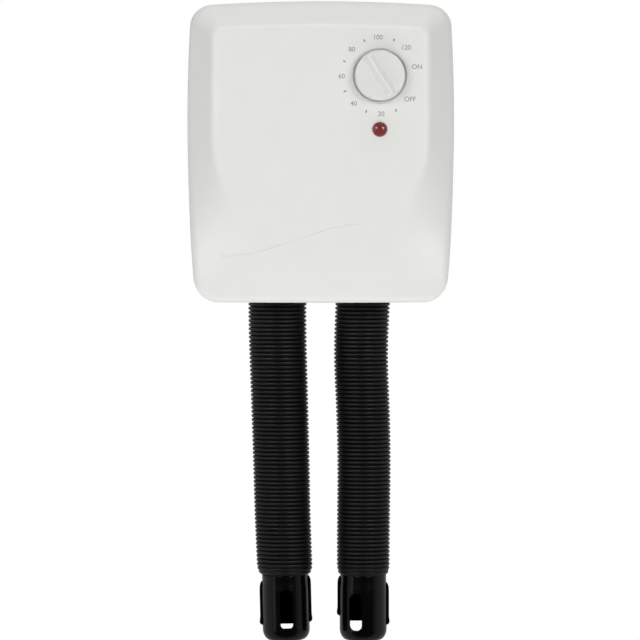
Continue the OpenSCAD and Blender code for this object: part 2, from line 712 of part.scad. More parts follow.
// ---- nozzles ----
nozzle_r = 16.6;
neck_r = 16.2;
neck_z = -302.2;
nozzle_end = -344.2;
nozzle_skin = 2;
nozzle_plug_top = -284.7;
plug_r = 14.6;
window_half = 5.1;   // half width of the front window
rear_window_half = 9;
window_z = [-339.7, -309.2];
web_t = 2;
web_z = -331.7;
fin_half_t = 1.6;
fin_r = 18.7;
high_fin = [-330.7, -299.2]; // bottom and top of the fin nearer the other hose
low_fin = [-333.7, -303.2];
module nozzle(side, window_angle) color("black") on_hose(side) difference() {
    union() {
        rotate_extrude() polygon([
            [plug_r - nozzle_skin, nozzle_plug_top], [plug_r, nozzle_plug_top], [plug_r, hose_end_z],
            [neck_r, hose_end_z], [neck_r, neck_z], [nozzle_r, neck_z],
            [nozzle_r, nozzle_end + 7.9], [nozzle_r - 0.6, nozzle_end + 4.3],
            [nozzle_r - 1.8, nozzle_end + 2], [nozzle_r - 5.5, nozzle_end],
            [0, nozzle_end], [0, nozzle_end + nozzle_skin],
            [nozzle_r - 6.5, nozzle_end + nozzle_skin], [nozzle_r - nozzle_skin, nozzle_end + 8.5],
            [nozzle_r - nozzle_skin, neck_z], [plug_r - nozzle_skin, neck_z]
        ]);
        for (s = [-1, 1]) {
            fin = s == side ? low_fin : high_fin;
            translate([s > 0 ? nozzle_r - 1 : -fin_r, -fin_half_t, fin[0]])
                cube([fin_r - nozzle_r + 1, 2 * fin_half_t, fin[1] - fin[0]]);
        }
        translate([-nozzle_r + 1, -web_t / 2, web_z])
            cube([2 * nozzle_r - 2, web_t, neck_z - web_z]);
    }
    rotate([0, 0, window_angle]) window(window_half, -1);
    window(rear_window_half, 1);
}
// A round-topped window through the front (s = -1) or the rear wall
module window(half, s) translate([0, s * nozzle_r, 0]) {
    translate([-half, -nozzle_r / 2, window_z[0]])
        cube([2 * half, nozzle_r, window_z[1] - half - window_z[0]]);
    translate([0, nozzle_r / 2, window_z[1] - half]) rotate([90, 0, 0]) cylinder(r = half, h = nozzle_r);
}

// ---- mains wiring inside ----
block_at = [54, -52];
block_size = [30, 12, 14];
block_ways = 3;
module terminal_block() color("ivory") translate([block_at[0], -wall - block_size[1], block_at[1]]) difference() {
    cube([block_size[0], block_size[1], block_size[2]]);
    for (k = [0:block_ways - 1])
        translate([(k + 0.5) * block_size[0] / block_ways, block_size[1] / 2, -1])
            cylinder(r = 2.2, h = block_size[2] + 2);
}

wire_r = 1;
wire_sides = 8;
// Routes of the insulated wires, as x, depth, z: two to the timer, two to the lamp, one to the heater
wires = [
    [[58, 8, -38], [58, 8, 20], [knob_x + terminal_x[0], 40, knob_z - 17],
     [knob_x + terminal_x[0], 66.5, knob_z + terminal_dz]],
    [[68, 8, -38], [68, 8, 20], [knob_x + terminal_x[1], 40, knob_z - 17],
     [knob_x + terminal_x[1], 66.5, knob_z + terminal_dz]],
    [[78, 8, -38], [78, 8, 4], [knob_x + 1.6, 60, lamp_z], [knob_x + 1.6, 82.5, lamp_z]],
    [[71, 8, -38], [71, 8, -33], [66, 20, -18], [knob_x - 1.6, 60, lamp_z], [knob_x - 1.6, 82.5, lamp_z]],
    [[62, 8, -38], [62, 8, -33], [34, 30, -20], [22, 66, -20], [3, 66, -20]]
];
// The route with each corner rounded
function rounded_route(route) = concat(
    [route[0]],
    [for (k = [1:len(route) - 2], t = [0, 0.33, 0.67, 1])
        bezier((route[k - 1] + 2 * route[k]) / 3, route[k], (2 * route[k] + route[k + 1]) / 3, t)],
    [last(route)]
);
function unit(v) = v / norm(v);
module wire(route) {
    path = [for (p = rounded_route(route)) [p[0], -p[1], p[2]]];
    n = len(path);
    ring_solid([for (k = [0:n - 1])
        let (
            along = unit(path[min(k + 1, n - 1)] - path[max(k - 1, 0)]),
            u = unit(cross(along, [0.6, 0.7, 0.1])),
            v = cross(along, u)
        )
        [for (i = [0:wire_sides - 1]) let (a = 360 * i / wire_sides)
            path[k] + wire_r * (u * cos(a) - v * sin(a))]
    ]);
}
module wiring() color("navy") for (route = wires) wire(route);

back_shell();
front_cover();
cover_screws();
cord_grommet();
terminal_block();
wiring();
timer_case();
timer_screws();
timer_mainspring();
timer_contacts();
timer_shaft();
timer_cam();
timer_knob();
lamp_lens();
lamp_holder();
lamp_clip();
neon_bulb();
scroll_body();
scroll_cover();
scroll_screws();
blower_screws();
motor_stator();
motor_bobbin();
motor_winding();
motor_brackets();
motor_bearings();
motor_screws();
motor_shaft();
motor_rotor();
impeller();
heater_frame();
heater_elements();
heater_fins();
thermal_cutout();
air_manifold();
hose_clamps();
hose_top(-1);  // left_hose_top
hose_piece(-1, bend_z, sway_z);  // left_hose_bend
hose_piece(-1, sway_z, stretch_z);  // left_hose_middle
hose_end(-1);  // left_hose_end
nozzle(-1, left_window);  // left_nozzle
hose_top(1);  // right_hose_top
hose_piece(1, bend_z, sway_z);  // right_hose_bend
hose_piece(1, sway_z, stretch_z);  // right_hose_middle
hose_end(1);  // right_hose_end
nozzle(1, right_window);  // right_nozzle
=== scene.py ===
"""Looks for the wall-mounted boot dryer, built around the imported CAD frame.

Lengths are in millimetres until build() turns them into metres. "Depth" is the distance in front of the
wall, which is -Y in the frame. +X is to the right and +Z is up.
"""

import json
import math

import bmesh
import bpy
import numpy as np
from mathutils import Matrix, Vector
from mathutils.bvhtree import BVHTree


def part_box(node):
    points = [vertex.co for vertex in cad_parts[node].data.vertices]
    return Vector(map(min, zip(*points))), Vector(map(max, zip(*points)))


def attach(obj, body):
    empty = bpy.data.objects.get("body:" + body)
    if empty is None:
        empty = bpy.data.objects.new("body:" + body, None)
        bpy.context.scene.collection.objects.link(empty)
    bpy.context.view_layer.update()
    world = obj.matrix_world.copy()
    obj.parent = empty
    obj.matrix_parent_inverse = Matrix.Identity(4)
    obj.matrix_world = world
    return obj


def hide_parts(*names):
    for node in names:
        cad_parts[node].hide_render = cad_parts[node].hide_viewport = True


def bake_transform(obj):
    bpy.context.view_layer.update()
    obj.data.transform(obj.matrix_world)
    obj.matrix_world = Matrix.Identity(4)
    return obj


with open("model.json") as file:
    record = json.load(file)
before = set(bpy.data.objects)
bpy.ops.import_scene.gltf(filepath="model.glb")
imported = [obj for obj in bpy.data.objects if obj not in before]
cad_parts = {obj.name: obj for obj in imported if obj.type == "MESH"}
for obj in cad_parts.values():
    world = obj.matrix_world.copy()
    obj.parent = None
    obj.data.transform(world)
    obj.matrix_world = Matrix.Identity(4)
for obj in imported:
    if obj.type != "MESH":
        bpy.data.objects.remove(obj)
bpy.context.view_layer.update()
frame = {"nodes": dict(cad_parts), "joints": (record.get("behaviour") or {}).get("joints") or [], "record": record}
scene = bpy.context.scene
MM = 0.001      # a millimetre in metres


# ---- places taken from the frame ----
def mm(metres):
    """A length in the frame as millimetres, to the tenth that the CAD is drawn to."""
    return round(metres / MM, 1)


def heights(node):
    """The lowest and the highest z of a CAD node."""
    low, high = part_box(node)
    return mm(low[2]), mm(high[2])


joints = {row["name"]: row for row in frame["joints"]}
mounts = {row["name"]: row for row in frame["record"]["mounts"]}

knob_at = joints["timer_turn"]["pos_m"]
KNOB_X, FRONT_D, KNOB_Z = mm(knob_at[0]), mm(-knob_at[1]), mm(knob_at[2])
LAMP_Z = sum(heights("lamp_lens")) / 2

# The hoses hang at the depth of the parting plane between the two shells, and the left one leans
bend_at, sway_at = joints["right_hose_bend"]["pos_m"], joints["right_hose_sway"]["pos_m"]
HOSE_X, SHELL_D, BEND_Z, SWAY_Z = mm(bend_at[0]), mm(-bend_at[1]), mm(bend_at[2]), mm(sway_at[2])
left_axis = joints["left_hose_extend"]["axis"]
LEFT_LEAN = math.radians(round(math.degrees(math.atan2(left_axis[0], -left_axis[2])), 2))
HOSE_END, CUFF_TOP = heights("right_hose_end")[0], heights("right_hose_top")[1]
NOZZLE_END, PLUG_TOP = heights("right_nozzle")

keyholes, inlet = mounts["keyholes"], mounts["cord_inlet"]
KEYHOLE_R = keyholes["dims"]["hole_r_mm"]
KEYHOLES = [(side * keyholes["dims"]["spacing_x_mm"] / 2, mm(keyholes["pos_m"][2])) for side in (-1, 1)]
GROMMET = mm(inlet["pos_m"][0]), mm(inlet["pos_m"][2])

# ---- sizes shared with the CAD ----
# The housing's silhouette: its flat edges, its corners, its sides about the waist, and its crowned ends
HALF_W, FLAT_TOP, FLAT_BOTTOM = 92.8, 101.1, -104.4
CORNER_TOP, CORNER_BOTTOM = 14.0, 16.0
HALF_H, WAIST_Z, SIDE_BULGE = 104.8, 20.0, 0.00043
CROWN_TOP, CROWN_BOTTOM, CROWN_HALF_W, CROWN_POWER = 3.7, -0.4, 85, 6
WALL, INNER_EDGE = 2.4, 1.5
# Depth of the front's outer edge at the top and the bottom, and the height that it comes forwards over
RIM_TOP_D, RIM_BOTTOM_D, RIM_FALL_FROM, RIM_FALL_OVER = 75.0, 100.0, -5.0, 88.0
# The crease round the raised panel, whose sides are pinched in below the waist
PANEL_HALF_W, PANEL_TOP, PANEL_BOTTOM, PANEL_CORNER = 74.2, 82.6, -75.8, 6.0
PANEL_WAIST_Z, PANEL_PINCH, PANEL_PINCH_POWER, PANEL_BOW, PANEL_CROWN = 7.0, 0.52, 1.7, 0.007, 2.4
EDGE_ROUND, CREASE_ROUND, BACK_ROUND = 7.0, 4.0, 3.5
SEAM = 0.4          # size of the chamfer on each side of the seam between the two shells
# The four cover screws: bosses in the front shell, posts in the back shell, and pilot holes
SCREW_BOSS_R, SCREW_POST_R, HIGH_BOSS_D, LOW_BOSS_D = 4.5, 5.0, 102.0, 100.2
CORNER_POSTS = [(69, 78.5), (-69, 78.5), (66, -84), (-66, -84)]
PILOT_R, PILOT_END_D = 1.5, 64
SHAFT_HOLE_R, LAMP_HOLE_R, GROMMET_HOLE_R = 5, 4.6, 5.5
KEYHOLE_SLOT_R, KEYHOLE_RISE = 2.5, 9
# The vents in each side: the lowest one's z, and the depths that they run between
VENT_COUNT, VENT_LOW_Z, VENT_PITCH, VENT_H, VENT_D = 12, -60, 7, 3, (10, 40)
POINTER_ANGLE = 327.4       # where the grip bar points at rest, in degrees clockwise from the top
PLEAT_TOP = -97.0           # where the hoses' pleats start, inside the housing

# ---- mesh density ----
ARC_STEPS, EDGE_STEPS, SIDE_STEPS = 12, 56, 64
SHARP = math.radians(38)


# ---- mesh helpers ----
def build(name, points, faces, sharp=SHARP):
    """A closed mesh object from points given as x, depth, z in millimetres, with its sharp edges marked."""
    xyz = np.asarray(points, float)
    xyz = np.column_stack([xyz[:, 0], -xyz[:, 1], xyz[:, 2]]) * MM
    mesh = bpy.data.meshes.new(name)
    mesh.from_pydata(xyz.tolist(), [], faces)
    obj = bpy.data.objects.new(name, mesh)
    scene.collection.objects.link(obj)
    clean(obj, sharp)
    return obj


def clean(obj, sharp=SHARP):
    """Normals outwards, smooth faces, and sharp edges where the surface turns quickly."""
    bm = bmesh.new()
    bm.from_mesh(obj.data)
    bmesh.ops.recalc_face_normals(bm, faces=bm.faces)
    for face in bm.faces:
        face.smooth = True
    for edge in bm.edges:
        edge.smooth = len(edge.link_faces) == 2 and edge.calc_face_angle(0.0) < sharp
    bm.to_mesh(obj.data)
    bm.free()


def loft(rings, loop=False):
    """Quads between rings of equally many points. The ends are capped, or joined to each other in a loop."""
    count, total = len(rings[0]), len(rings)
    faces = []
    for j in range(total if loop else total - 1):
        a, b = j * count, (j + 1) % total * count
        faces += [(a + i, a + (i + 1) % count, b + (i + 1) % count, b + i) for i in range(count)]
    if not loop:
        faces += [tuple(range(count)), tuple(range((total - 1) * count, total * count))]
    return np.vstack(rings), faces


def merge(parts):
    """Several (points, faces) as one."""
    points, faces, start = [], [], 0
    for p, f in parts:
        points.append(p)
        faces += [tuple(start + i for i in face) for face in f]
        start += len(p)
    return np.vstack(points), faces


def lathe(profile, steps=64, axis="depth", at=(0, 0, 0), loop=False):
    """A turned solid. profile is (radius, height) pairs, with height along the axis; at is x, depth, z. In a
    loop the profile closes on itself, and otherwise its ends are capped."""
    angles = np.linspace(0, 2 * math.pi, steps, endpoint=False)
    rings = []
    for r, h in profile:
        u, v, w = r * np.cos(angles), r * np.sin(angles), np.full(steps, float(h))
        rings.append(np.column_stack([u, w, v] if axis == "depth" else [u, v, w]) + np.array(at, float))
    return loft(rings, loop)


def prism(outline, low, high, axis="depth"):
    """An outline of (x, z) extruded in depth, or of (depth, z) extruded along x."""
    first, second = np.asarray(outline, float).T
    rings = []
    for level in (low, high):
        flat = np.full(len(first), float(level))
        rings.append(np.column_stack([first, flat, second] if axis == "depth" else [flat, first, second]))
    return loft(rings)


def arc(cx, cz, r, start, end, steps):
    """Points of an arc, angles in degrees."""
    a = np.radians(np.linspace(start, end, steps + 1))
    return np.column_stack([cx + r * np.cos(a), cz + r * np.sin(a)])


def stadium(length, width, steps=10):
    """A round-ended bar as (x, z) points, with its length along z."""
    r, reach = width / 2, (length - width) / 2
    return np.vstack([arc(0, reach, r, 0, 180, steps), arc(0, -reach, r, 180, 360, steps)])


def bezier(a, b, c, t):
    """A point of the curve that runs from a to c and is drawn towards b."""
    return a * (1 - t) ** 2 + b * 2 * t * (1 - t) + c * t * t


def rounded_profile(corners, radii, steps=5):
    """A turned profile with its corners rounded, each by its own radius."""
    points = [np.array(p, float) for p in corners]
    out = [points[0]]
    for before, here, after, radius in zip(points, points[1:], points[2:], radii):
        if radius <= 0:
            out.append(here)
            continue
        a = here + (before - here) * min(0.5, radius / np.linalg.norm(before - here))
        b = here + (after - here) * min(0.5, radius / np.linalg.norm(after - here))
        out += [bezier(a, here, b, t) for t in np.linspace(0, 1, steps + 1)]
    return out + [points[-1]]


def smooth(t):
    """0 to 1 with a soft start and end."""
    t = np.clip(t, 0, 1)
    return t * t * (3 - 2 * t)


def combine(obj, parts, operation):
    """Cuts parts out of obj, or joins them to it, and keeps one clean mesh."""
    tool = build("tool", *merge(parts))
    modifier = obj.modifiers.new("combine", "BOOLEAN")
    modifier.operation, modifier.solver, modifier.object = operation, "EXACT", tool
    bpy.context.view_layer.update()
    result = bpy.data.meshes.new_from_object(obj.evaluated_get(bpy.context.evaluated_depsgraph_get()))
    obj.modifiers.clear()
    obj.data = result
    bpy.data.objects.remove(tool)
    clean(obj)


# ---- the housing's outlines, as in the CAD ----
def rounded(half, top, bottom, r_top, r_bottom):
    """A rounded rectangle of (x, z) points, anticlockwise from the right side's top."""
    corners = [
        arc(half - r_top, top - r_top, r_top, 0, 90, ARC_STEPS),
        arc(r_top - half, top - r_top, r_top, 90, 180, ARC_STEPS),
        arc(r_bottom - half, bottom + r_bottom, r_bottom, 180, 270, ARC_STEPS),
        arc(half - r_bottom, bottom + r_bottom, r_bottom, 270, 360, ARC_STEPS),
    ]
    out = []
    for k, steps in enumerate((EDGE_STEPS, SIDE_STEPS, EDGE_STEPS, SIDE_STEPS)):
        start, end = corners[k][-1], corners[(k + 1) % 4][0]
        out += [corners[k], start + (end - start) * np.linspace(0, 1, steps + 1)[1:-1, None]]
    return np.vstack(out)


def housing_outline(inset):
    """The silhouette of the housing, with bulging sides and a crowned top."""
    outline = rounded(HALF_W - inset, FLAT_TOP - inset, FLAT_BOTTOM + inset,
                      CORNER_TOP - inset, CORNER_BOTTOM - inset)
    x, z = outline[:, 0], outline[:, 1]
    crown = np.where(z > 0, CROWN_TOP, CROWN_BOTTOM)
    lift = crown * (abs(z) / HALF_H) ** CROWN_POWER * np.maximum(0, 1 - (x / CROWN_HALF_W) ** 2)
    return np.column_stack([x * (1 - SIDE_BULGE * (z - WAIST_Z) ** 2 / HALF_W), z + lift])


def panel_outline():
    """The crease round the raised panel, which is pinched in towards its lower end."""
    outline = rounded(PANEL_HALF_W, PANEL_TOP, PANEL_BOTTOM, PANEL_CORNER, PANEL_CORNER)
    x, z = outline[:, 0], outline[:, 1]
    below = np.maximum(0, PANEL_WAIST_Z - z) / (PANEL_WAIST_Z - PANEL_BOTTOM)
    bow = PANEL_BOW * ((z - PANEL_WAIST_Z) / (PANEL_TOP - PANEL_WAIST_Z)) ** 2
    crown = np.sign(z) * PANEL_CROWN * (1 - (x / PANEL_HALF_W) ** 2)
    return np.column_stack([x * (1 - bow - PANEL_PINCH * below ** PANEL_PINCH_POWER),
                            z + crown * (abs(z) / PANEL_TOP) ** CROWN_POWER])


def rim_depth(z):
    """Depth of the front's outer edge, which comes forwards towards the bottom."""
    return RIM_TOP_D + (RIM_BOTTOM_D - RIM_TOP_D) * smooth((RIM_FALL_FROM - z) / RIM_FALL_OVER)


def at_depth(outline, depth):
    """An outline of (x, z) as points at one depth, or each at its own."""
    return np.column_stack([outline[:, 0], np.broadcast_to(depth, len(outline)), outline[:, 1]])


# ---- the two shells ----
PANEL_SHRINK = 0.006            # how much narrower the panel's outline gets, for each millimetre inwards
FLAT_FROM, FLAT_TO = 0.03, 0.95     # shares of the panel's outline that its flat middle runs between


def front_rings(inset, flat_steps, crease_steps, band_steps, edge_steps, side_steps):
    """Rings of the front from the middle of the panel to the parting plane."""
    rim, panel = housing_outline(inset), panel_outline() * (1 - inset * PANEL_SHRINK)
    corner = at_depth(rim, rim_depth(rim[:, 1]) - inset / 2)
    crease = at_depth(panel, FRONT_D - inset)
    run = corner - crease
    length = np.linalg.norm(run, axis=1)[:, None]
    start, end = crease + run * CREASE_ROUND / length, corner - run * EDGE_ROUND / length
    side_start, side_end = corner - [0, EDGE_ROUND, 0], at_depth(rim, SHELL_D + SEAM)
    rings = [crease * [s, 1, s] for s in np.linspace(FLAT_FROM, FLAT_TO, flat_steps, endpoint=False)]
    rings += [bezier(crease * [FLAT_TO, 1, FLAT_TO], crease, start, t)
              for t in np.linspace(0, 1, crease_steps + 1)]
    rings += [start + (end - start) * t for t in np.linspace(0, 1, band_steps + 1)[1:-1]]
    rings += [bezier(end, corner, side_start, t) for t in np.linspace(0, 1, edge_steps + 1)]
    rings += [side_start + (side_end - side_start) * t for t in np.linspace(0, 1, side_steps + 1)[1:]]
    return rings


# The faint wave across the lower front: its height at a few places, and the fine groove that draws it
WAVE_X = (-76, -60, -50, -36, -14, 8, 20, 34)
WAVE_Z = (-72, -72, -71, -67, -60, -52.5, -50.5, -49.7)
WAVE_R, WAVE_DEPTH, WAVE_CLEAR, WAVE_POINTS = 1.0, 0.45, 0.05, 61
WAVE_FADE_LEFT, WAVE_FADE_RIGHT = 24, 12    # lengths over which the groove gets shallower at its ends


def wave_groove(shell):
    """Cutter for the groove: a thin tube that follows the shell's front and rises out of it at both ends."""
    x = np.linspace(WAVE_X[0], WAVE_X[-1], WAVE_POINTS)
    z = np.interp(x, WAVE_X, WAVE_Z)
    z[1:-1] = (z[:-2] + z[1:-1] + z[2:]) / 3
    surface = BVHTree.FromObject(shell, bpy.context.evaluated_depsgraph_get())
    hits = [surface.ray_cast(Vector((a * MM, -1, b * MM)), Vector((0, 1, 0)))[0] for a, b in zip(x, z)]
    front = np.array([-hit.y / MM for hit in hits])
    fade = smooth((x - x[0]) / WAVE_FADE_LEFT) * smooth((x[-1] - x) / WAVE_FADE_RIGHT)
    middle = front + WAVE_R + WAVE_CLEAR - fade * (WAVE_DEPTH + WAVE_CLEAR)
    circle = arc(0, 0, WAVE_R, 7, 337, 11)      # twelve points, turned so that no edge faces straight in
    rings = []
    for at_x, depth, at_z, turn in zip(x, middle, z, np.arctan(np.gradient(z, x))):
        rings.append(np.column_stack([at_x - circle[:, 0] * math.sin(turn), depth + circle[:, 1],
                                      at_z + circle[:, 0] * math.cos(turn)]))
    return loft(rings)


HOSE_EXIT_R, EXIT_TOP, EXIT_LOW = 21.4, -97.5, -110
EXIT_EDGE_H, EXIT_EDGE_W = 1.0, 0.9     # the softened lower edge of the holes


def hose_exits():
    """Cutters for the holes that the hoses come out of."""
    profile = [(HOSE_EXIT_R, EXIT_TOP), (HOSE_EXIT_R, -HALF_H + EXIT_EDGE_H),
               (HOSE_EXIT_R + EXIT_EDGE_W, -HALF_H), (HOSE_EXIT_R + EXIT_EDGE_W, EXIT_LOW)]
    return [lathe(profile, 96, "up", (x, SHELL_D, 0)) for x in (-HOSE_X, HOSE_X)]


def seam_rings():
    """The faces of a shell's edge, from its chamfer outside to its wall inside."""
    return [at_depth(housing_outline(inset), SHELL_D) for inset in (SEAM, WALL)]


def front_shell():
    """The front cover, with its screw bosses and wave, and holes for the shaft, the lamp and the hoses."""
    outside = front_rings(0, flat_steps=84, crease_steps=8, band_steps=14, edge_steps=10, side_steps=6)
    inside = front_rings(WALL, flat_steps=4, crease_steps=3, band_steps=2, edge_steps=3, side_steps=2)
    obj = build("front_shell", *loft(outside + seam_rings() + inside[::-1]))
    bosses = []
    for x, z in CORNER_POSTS:
        boss_d = HIGH_BOSS_D if z > 0 else LOW_BOSS_D
        bosses.append(lathe([(SCREW_BOSS_R, SHELL_D), (SCREW_BOSS_R, boss_d)], 40, at=(x, 0, z)))
    combine(obj, bosses, "UNION")
    holes = [lathe([(PILOT_R, SHELL_D - 1), (PILOT_R, PILOT_END_D)], 24, at=(x, 0, z))
             for x, z in CORNER_POSTS]
    for r, z in ((SHAFT_HOLE_R, KNOB_Z), (LAMP_HOLE_R, LAMP_Z)):
        holes.append(lathe([(r, FRONT_D - 10), (r, FRONT_D + 1)], 48, at=(KNOB_X, 0, z)))
    combine(obj, holes + [wave_groove(obj)] + hose_exits(), "DIFFERENCE")
    return obj


# The well that a cover screw goes into from behind: softened mouth, seat, and the hole through its post
SCREW_WELL = [(4.5, -1), (4.2, 0.4), (3.8, 0.8), (3.8, 36), (1.8, 36), (1.8, SHELL_D + 1)]


def keyhole(x, z):
    """Cutter for a hole to hang the housing by: a round opening with a narrow slot above it."""
    narrow = math.degrees(math.asin(KEYHOLE_SLOT_R / KEYHOLE_R))
    opening = arc(x, z, KEYHOLE_R, 90 + narrow, 450 - narrow, 48)
    slot = arc(x, z + KEYHOLE_RISE, KEYHOLE_SLOT_R, 0, 180, 20)
    return prism(np.vstack([opening, slot]), -1, WALL + 1)


def vent(side, low):
    """Cutter for a round-ended vent through the wall of one side."""
    r, (back, front) = VENT_H / 2, VENT_D
    outline = np.vstack([arc(front - r, low + r, r, -90, 90, 8), arc(back + r, low + r, r, 90, 270, 8)])
    return prism(outline, *sorted((side * (HALF_W - 10), side * (HALF_W + 10))), "x")


def back_shell():
    """The back shell, with its screw posts, keyholes, vents, and holes for the grommet and the hoses."""
    turn = [math.radians(a) for a in np.linspace(0, 90, 8)]
    outside = [at_depth(housing_outline(BACK_ROUND * (1 - math.sin(a))), BACK_ROUND * (1 - math.cos(a)))
               for a in turn]
    outside += [at_depth(housing_outline(0), d) for d in np.linspace(BACK_ROUND, SHELL_D - SEAM, 8)[1:]]
    inside = [at_depth(housing_outline(WALL), WALL + INNER_EDGE),
              at_depth(housing_outline(WALL + INNER_EDGE), WALL)]
    obj = build("back_shell_moulding", *loft(outside + seam_rings() + inside))
    post = [(SCREW_POST_R, 1), (SCREW_POST_R, SHELL_D)]
    posts = [lathe(post, 40, at=(x, 0, z)) for x, z in CORNER_POSTS]
    combine(obj, posts, "UNION")
    cuts = [lathe(SCREW_WELL, 40, at=(x, 0, z)) for x, z in CORNER_POSTS]
    cuts += [keyhole(x, z) for x, z in KEYHOLES]
    grommet_hole = [(GROMMET_HOLE_R, -1), (GROMMET_HOLE_R, WALL + 1)]
    cuts.append(lathe(grommet_hole, 48, at=(GROMMET[0], 0, GROMMET[1])))
    cuts += [vent(side, VENT_LOW_Z + k * VENT_PITCH) for side in (-1, 1) for k in range(VENT_COUNT)]
    combine(obj, cuts + hose_exits(), "DIFFERENCE")
    return obj


# ---- knob, dial and lamp ----
# Depths of the knob's back and face, of the front of its skirt's rim, and of the gap's floor inside the rim
KNOB_BACK, KNOB_FACE, RIM_FRONT, GAP_FLOOR = 104.6, 113.6, 107.3, 105.1
# Radii of the rim outside and inside, and of the cap at its foot and at its face
KNOB_R, RIM_R, CAP_R, KNOB_FACE_R = 18.9, 18.5, 17.4, 16.7
KNOB_BORE_R, KNOB_HOLLOW, KNOB_FOOT, CAP_EDGE = 3, 1, 1.6, 1.6
GRIP_LENGTH, GRIP_FOOT, GRIP_TOP, GRIP_RISE = 33.2, 7.6, 3.0, 4.0
GRIP_SHORTER, GRIP_ROUND_H, GRIP_ROUND_IN = 2.6, 1.0, 1.6
# Sides of the grip bar from its foot up: height over the knob's face, and share of the way to the top's size
GRIP_SIDE = ((-2.0, 0.0), (0.0, 0.04), (1.0, 0.34), (2.0, 0.68), (GRIP_RISE - GRIP_ROUND_H, 1.0))


def grip_bar():
    """The bar that the fingers turn, narrower at its rounded top than at its foot."""
    levels = []
    for rise, share in GRIP_SIDE:
        levels.append((rise, GRIP_LENGTH - GRIP_SHORTER * share, GRIP_FOOT - (GRIP_FOOT - GRIP_TOP) * share))
    for a in np.radians(np.linspace(15, 90, 6)):
        round_in = GRIP_ROUND_IN * (1 - math.cos(a))
        levels.append((GRIP_RISE - GRIP_ROUND_H * (1 - math.sin(a)),
                       GRIP_LENGTH - GRIP_SHORTER - round_in, GRIP_TOP - round_in))
    return loft([at_depth(stadium(length, width), KNOB_FACE + rise) for rise, length, width in levels])


def timer_knob():
    """A tapered cap with a grip bar, inside the low rim of its skirt. The gap between them looks dark."""
    corners = [(KNOB_BORE_R, KNOB_BACK + KNOB_HOLLOW), (KNOB_R - 2, KNOB_BACK + KNOB_HOLLOW),
               (KNOB_R - KNOB_FOOT, KNOB_BACK), (KNOB_R, KNOB_BACK),
               (KNOB_R, RIM_FRONT), (RIM_R, RIM_FRONT), (RIM_R, GAP_FLOOR), (CAP_R, GAP_FLOOR),
               (KNOB_FACE_R, KNOB_FACE), (KNOB_FACE_R - CAP_EDGE, KNOB_FACE)]
    radii = (0, 0, 0.4, 0.15, 0.15, 0.2, 0.2, 0.7)
    face = [(r, KNOB_FACE) for r in (13, 10.5, 8, 5.5, 3, 0.5)]
    obj = build("timer_knob_cap", *lathe(rounded_profile(corners, radii) + face, 160))
    combine(obj, [grip_bar()], "UNION")
    obj.data.transform(Matrix.Translation((KNOB_X * MM, 0, KNOB_Z * MM))
                       @ Matrix.Rotation(math.radians(POINTER_ANGLE), 4, "Y"))
    return obj


# Marks round the knob, each at its angle in degrees, clockwise from the top
DIAL_R = 26.2
DIAL_MARKS = {"20": 178, "40": 223, "60": 269, "80": 313, "100": 357, "120": 43.0, "OFF": 128, "ON": 76.8}
DIAL_TICKS = (155, 201, 246, 292, 336, 21.5)
MARK_SIZE, STROKE, INK = 4.6, 0.04, 0.03
TICK_LENGTH, TICK_WIDTH = 2.2, 1.1


def on_dial(angle):
    """The x and z of a place on the dial."""
    a = math.radians(angle)
    return KNOB_X + DIAL_R * math.sin(a), KNOB_Z + DIAL_R * math.cos(a)


def dial_mark(text, angle):
    """A printed number or word, upright, as (points, faces)."""
    curve = bpy.data.curves.new("mark", "FONT")
    curve.body, curve.size, curve.extrude, curve.offset = text, MARK_SIZE * MM, INK * MM, STROKE * MM
    curve.align_x, curve.align_y = "CENTER", "CENTER"
    obj = bpy.data.objects.new("mark", curve)
    scene.collection.objects.link(obj)
    bpy.context.view_layer.update()
    mesh = bpy.data.meshes.new_from_object(obj.evaluated_get(bpy.context.evaluated_depsgraph_get()))
    local = np.array([v.co for v in mesh.vertices], float) / MM
    x, z = on_dial(angle)
    bpy.data.objects.remove(obj)
    return (np.column_stack([local[:, 0] + x, FRONT_D + local[:, 2], local[:, 1] + z]),
            [tuple(p.vertices) for p in mesh.polygons])


def dial_tick(angle):
    """A short round-ended tick that points at the knob."""
    a = math.radians(angle)
    x, z = stadium(TICK_LENGTH, TICK_WIDTH, 4).T
    turned = np.column_stack([x * math.cos(a) + z * math.sin(a), z * math.cos(a) - x * math.sin(a)])
    return prism(turned + on_dial(angle), FRONT_D - INK, FRONT_D + INK)


def dial_print():
    """The printed marks and ticks round the knob, as a film of ink on the panel."""
    marks = [dial_mark(text, angle) for text, angle in DIAL_MARKS.items()]
    return build("dial_print", *merge(marks + [dial_tick(angle) for angle in DIAL_TICKS]))


# Radii of the lens's flange, of the skirt behind it and of its hollow, and the depth of its back
LENS_R, LENS_SKIRT_R, LENS_HOLLOW_R, LENS_BACK = 5.1, 4.4, 3.4, 93


def lamp_lens():
    """A hollow domed lens with a flange on the panel and a skirt behind it."""
    corners = [(LENS_HOLLOW_R, LENS_BACK), (LENS_SKIRT_R, LENS_BACK), (LENS_SKIRT_R, FRONT_D),
               (LENS_R, FRONT_D), (LENS_R, FRONT_D + 1), (3.8, FRONT_D + 2.1), (2.2, FRONT_D + 2.75),
               (0.1, FRONT_D + 2.8)]
    outside = rounded_profile(corners, (0, 0, 0, 0.4, 0.8, 0.8))
    inside = [(0.1, FRONT_D + 1.0), (2.6, FRONT_D + 0.9), (LENS_HOLLOW_R, FRONT_D)]
    return build("lamp_lens_cap", *lathe(outside + inside, 64, at=(KNOB_X, 0, LAMP_Z)))


